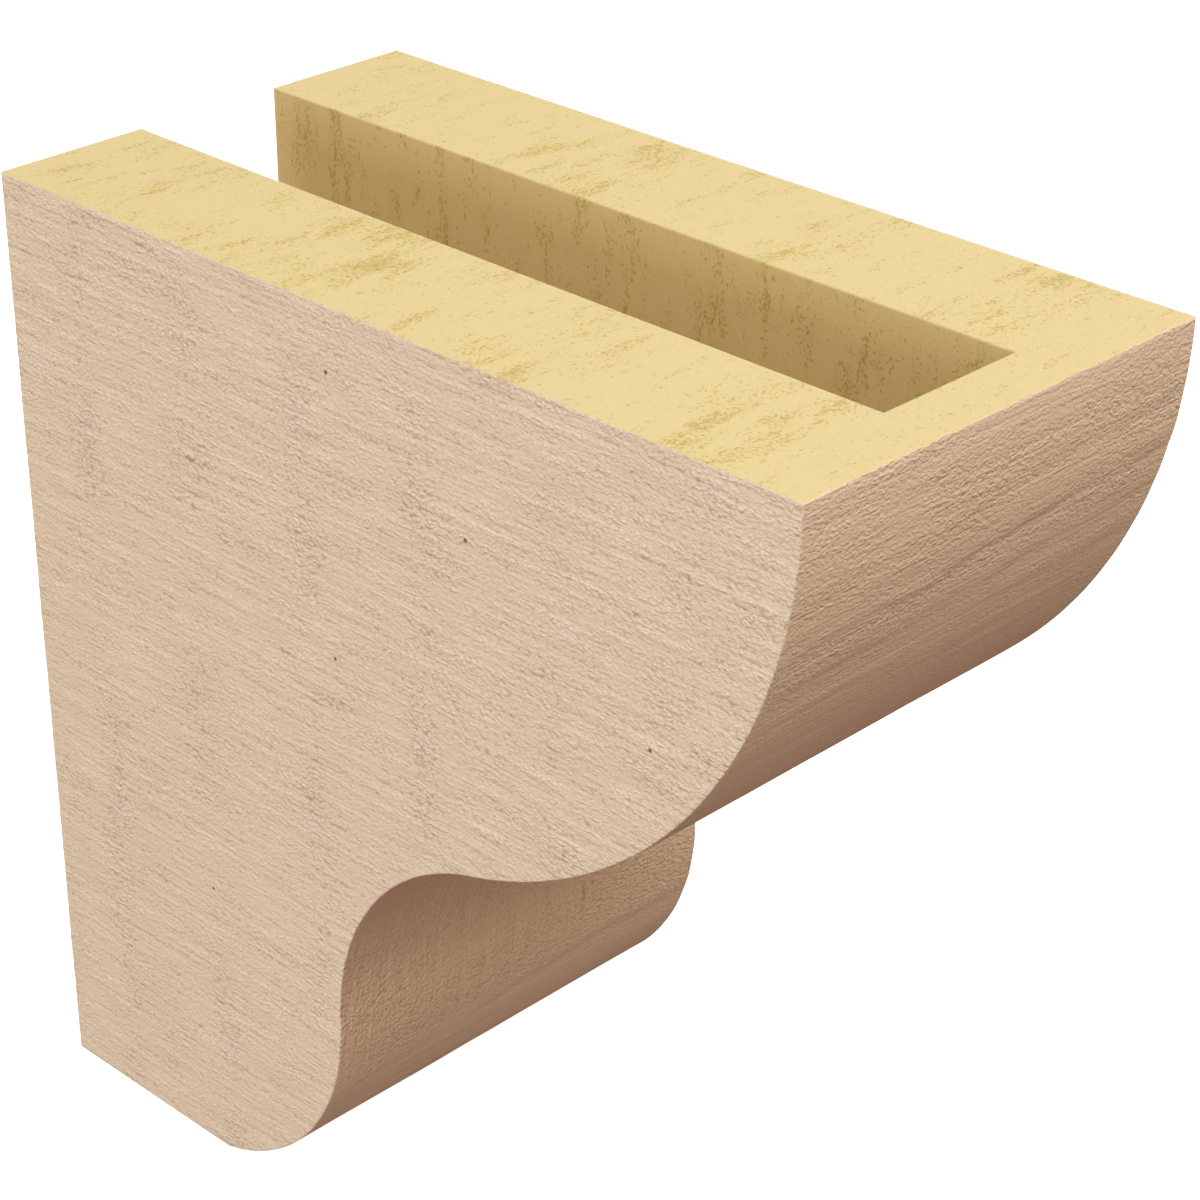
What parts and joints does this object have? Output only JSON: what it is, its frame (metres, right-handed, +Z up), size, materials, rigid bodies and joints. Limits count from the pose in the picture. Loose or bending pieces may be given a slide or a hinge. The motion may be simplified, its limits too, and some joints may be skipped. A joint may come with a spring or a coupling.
{
  "type": "wall corbel",
  "caption": "Moulded foam wall corbel with the look of rough-sawn wood, its curved front an ovolo over a cove over an ovolo, hollow from the top and the back.",
  "frame": {"origin": "on the wall plane, middle of the bar that closes the back of the hollow at the bottom", "axes": "+Z up, +Y into the wall, the front faces -Y, X across the width"},
  "size_m": [0.1524, 0.3048, 0.3048],
  "materials": {
    "primed_foam": "matte"
  },
  "bodies": {
    "root": {"corbel": "primed_foam"}
  },
  "joints": []
}
